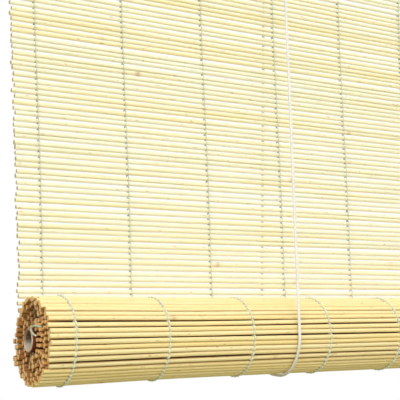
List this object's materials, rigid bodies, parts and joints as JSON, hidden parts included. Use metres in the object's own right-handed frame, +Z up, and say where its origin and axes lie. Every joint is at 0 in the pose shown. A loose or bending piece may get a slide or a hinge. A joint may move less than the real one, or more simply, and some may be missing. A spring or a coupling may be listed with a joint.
{
  "type": "bamboo roll up blind",
  "caption": "Bamboo stick roll-up blind, half raised: a see-through mat of thin sticks on warp threads, wound at its foot round a pole and carried by lift cords over pulleys.",
  "frame": {"origin": "midway between the two mounting holes, on the back face of the head", "axes": "X along the width to the right as seen from the room, Y into the wall, Z up"},
  "size_m": [0.9, 0.0688, 0.5061],
  "materials": {
    "mat_sticks": "bare split bamboo, satin",
    "roll_sticks": "bare split bamboo, satin",
    "pole_bamboo": "raw bamboo cane, cut ends",
    "lath_wood": "planed wood, unvarnished",
    "cleat_wood": "turned wood, waxed",
    "warp_yarn": "twisted cotton yarn",
    "white_cord": "braided polyester cord",
    "wheel_plastic": "moulded nylon",
    "steel": "zinc plated"
  },
  "bodies": {
    "head": {"head_lath_front": "lath_wood", "head_lath_back": "lath_wood", "lath_nails": "steel", "fixing_screws": "steel", "tie_cleat": "cleat_wood", "cord_hank": "white_cord", "stick_mat": "mat_sticks", "left_pulley_bracket": "steel", "left_pulley_axle": "steel", "left_cord_front": "white_cord", "left_cord_back": "white_cord", "left_cord_head": "white_cord", "right_pulley_bracket": "steel", "right_pulley_axle": "steel", "right_cord_front": "white_cord", "right_cord_back": "white_cord", "right_cord_head": "white_cord", "warp_thread_01": "warp_yarn", "warp_thread_02": "warp_yarn", "warp_thread_03": "warp_yarn", "warp_thread_04": "warp_yarn", "warp_thread_05": "warp_yarn", "warp_thread_06": "warp_yarn", "warp_thread_07": "warp_yarn", "warp_thread_08": "warp_yarn", "warp_thread_09": "warp_yarn", "warp_thread_10": "warp_yarn", "warp_thread_11": "warp_yarn", "warp_thread_12": "warp_yarn", "warp_thread_13": "warp_yarn", "warp_thread_14": "warp_yarn"},
    "slings": {"left_cord_sling": "white_cord", "right_cord_sling": "white_cord"},
    "roll": {"rolled_mat": "roll_sticks", "bamboo_pole": "pole_bamboo", "roll_thread_01": "warp_yarn", "roll_thread_02": "warp_yarn", "roll_thread_03": "warp_yarn", "roll_thread_04": "warp_yarn", "roll_thread_05": "warp_yarn", "roll_thread_06": "warp_yarn", "roll_thread_07": "warp_yarn", "roll_thread_08": "warp_yarn", "roll_thread_09": "warp_yarn", "roll_thread_10": "warp_yarn", "roll_thread_11": "warp_yarn", "roll_thread_12": "warp_yarn", "roll_thread_13": "warp_yarn", "roll_thread_14": "warp_yarn"},
    "left_wheel": {"left_pulley_wheel": "wheel_plastic"},
    "right_wheel": {"right_pulley_wheel": "wheel_plastic"}
  },
  "joints": [
    {"name": "roll_lift", "type": "slide", "parent": "head", "child": "slings", "axis": [0, 0, 1], "range_m": [0, 0.39], "deforming": ["stick_mat", "warp_thread_01", "warp_thread_02", "warp_thread_03", "warp_thread_04", "warp_thread_05", "warp_thread_06", "warp_thread_07", "warp_thread_08", "warp_thread_09", "warp_thread_10", "warp_thread_11", "warp_thread_12", "warp_thread_13", "warp_thread_14", "left_cord_back", "right_cord_back", "left_cord_front", "right_cord_front"]},
    {"name": "roll_turn", "type": "hinge", "parent": "slings", "child": "roll", "pos_m": [0, -0.0385, -0.4563], "axis": [1, 0, 0], "range_deg": [-742, 0]},
    {"name": "left_wheel_turn", "type": "hinge", "parent": "head", "child": "left_wheel", "pos_m": [-0.241, -0.0183, 0], "axis": [0, 1, 0], "range_deg": [0, 5590]},
    {"name": "right_wheel_turn", "type": "hinge", "parent": "head", "child": "right_wheel", "pos_m": [0.257, -0.0205, 0], "axis": [0, 1, 0], "range_deg": [0, 5590]}
  ],
  "couplings": [
    {"joint": "roll_turn", "follows": "roll_lift", "rad_per_m": -33.113},
    {"joint": "left_wheel_turn", "follows": "roll_lift", "rad_per_m": 250},
    {"joint": "right_wheel_turn", "follows": "roll_lift", "rad_per_m": 250}
  ]
}
